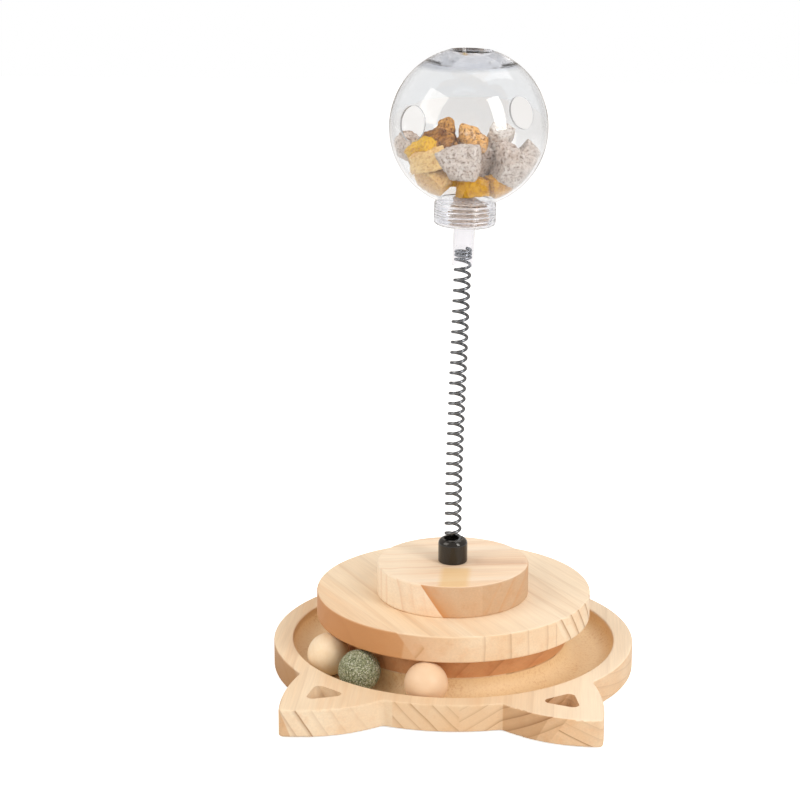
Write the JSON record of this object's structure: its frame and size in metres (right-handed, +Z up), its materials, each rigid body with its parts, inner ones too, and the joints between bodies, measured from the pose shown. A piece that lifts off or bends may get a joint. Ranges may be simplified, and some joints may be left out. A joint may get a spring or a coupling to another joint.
{
  "type": "cat treat ball tower",
  "caption": "Wooden cat toy tower: a clear treat-leaking ball on a coil spring mast, on a turntable over a cat-head base with a track of rolling balls.",
  "frame": {"origin": "on the turntable's axis, on the plane of the pads' undersides", "axes": "+Z up along the turntable's axis, -Y towards the cat's ears, +X to the right seen from the ears"},
  "size_m": [0.24, 0.2557, 0.411],
  "materials": {
    "pine": "planed and sanded pine, clear matt lacquer",
    "riser_wood": "sanded reddish softwood, matt",
    "ball_wood": "turned and sanded beech, bare",
    "catnip": "pressed dried leaf, rough and matt",
    "pad": "matt foam rubber",
    "zinc_steel": "zinc plated",
    "spring_steel": "drawn spring steel wire, oiled",
    "brass": "turned",
    "nylon": "moulded, natural",
    "socket_plastic": "moulded black, glossy",
    "clear_plastic": "clear moulded, polished",
    "meaty_treat": "freeze dried, porous",
    "yellow_treat": "freeze dried, crumbly",
    "golden_treat": "freeze dried, crumbly",
    "brown_treat": "baked, rough"
  },
  "bodies": {
    "base": {"base_board": "pine", "anti_slip_pads": "pad", "riser": "riser_wood", "riser_screws": "zinc_steel", "thrust_washer": "nylon", "pivot_bolt": "zinc_steel", "bolt_washer": "zinc_steel", "nut_washer": "zinc_steel", "lock_nut": "zinc_steel"},
    "turntable": {"turntable_disc": "pine", "pivot_bush": "brass", "puck": "pine", "puck_screws": "zinc_steel", "mast_socket": "socket_plastic", "socket_screw": "zinc_steel"},
    "mast": {"mast_spring": "spring_steel"},
    "cap": {"screw_cap": "clear_plastic"},
    "ball": {"treat_ball": "clear_plastic", "meaty_treats": "meaty_treat", "yellow_treats": "yellow_treat", "golden_treats": "golden_treat", "brown_treats": "brown_treat"},
    "left_roller": {"wood_ball_left": "ball_wood"},
    "catnip_roller": {"catnip_ball": "catnip"},
    "right_roller": {"wood_ball_right": "ball_wood"}
  },
  "joints": [
    {"name": "turntable_spin", "type": "hinge", "parent": "base", "child": "turntable", "pos_m": [0, 0, 0.0352], "axis": [0, 0, 1], "continuous": true},
    {"name": "mast_sway_side", "type": "hinge", "parent": "turntable", "child": "mast", "pos_m": [0.00051, -0.009, 0.137], "axis": [0, 1, 0], "range_deg": [-45, 45], "stiffness_Nm_per_rad": 0.9, "deforming": ["mast_spring"]},
    {"name": "mast_sway_front", "type": "hinge", "parent": "mast", "child": "cap", "pos_m": [0.00352, -0.009, 0.2285], "axis": [1, 0, 0], "range_deg": [-45, 45], "stiffness_Nm_per_rad": 0.9, "deforming": ["mast_spring"]},
    {"name": "ball_unscrew", "type": "hinge", "parent": "cap", "child": "ball", "pos_m": [0.0082, -0.009, 0.36253], "axis": [0.0349, 0, 0.9994], "range_deg": [0, 540]},
    {"name": "left_ball_roll", "type": "hinge", "parent": "base", "child": "left_roller", "pos_m": [0, 0, 0.0208], "axis": [0, 0, 1], "continuous": true},
    {"name": "catnip_ball_roll", "type": "hinge", "parent": "base", "child": "catnip_roller", "pos_m": [0, 0, 0.0208], "axis": [0, 0, 1], "continuous": true},
    {"name": "right_ball_roll", "type": "hinge", "parent": "base", "child": "right_roller", "pos_m": [0, 0, 0.0208], "axis": [0, 0, 1], "continuous": true}
  ],
  "couplings": [
    {"joint": "catnip_ball_roll", "follows": "left_ball_roll", "ratio": 1},
    {"joint": "right_ball_roll", "follows": "left_ball_roll", "ratio": 1}
  ]
}
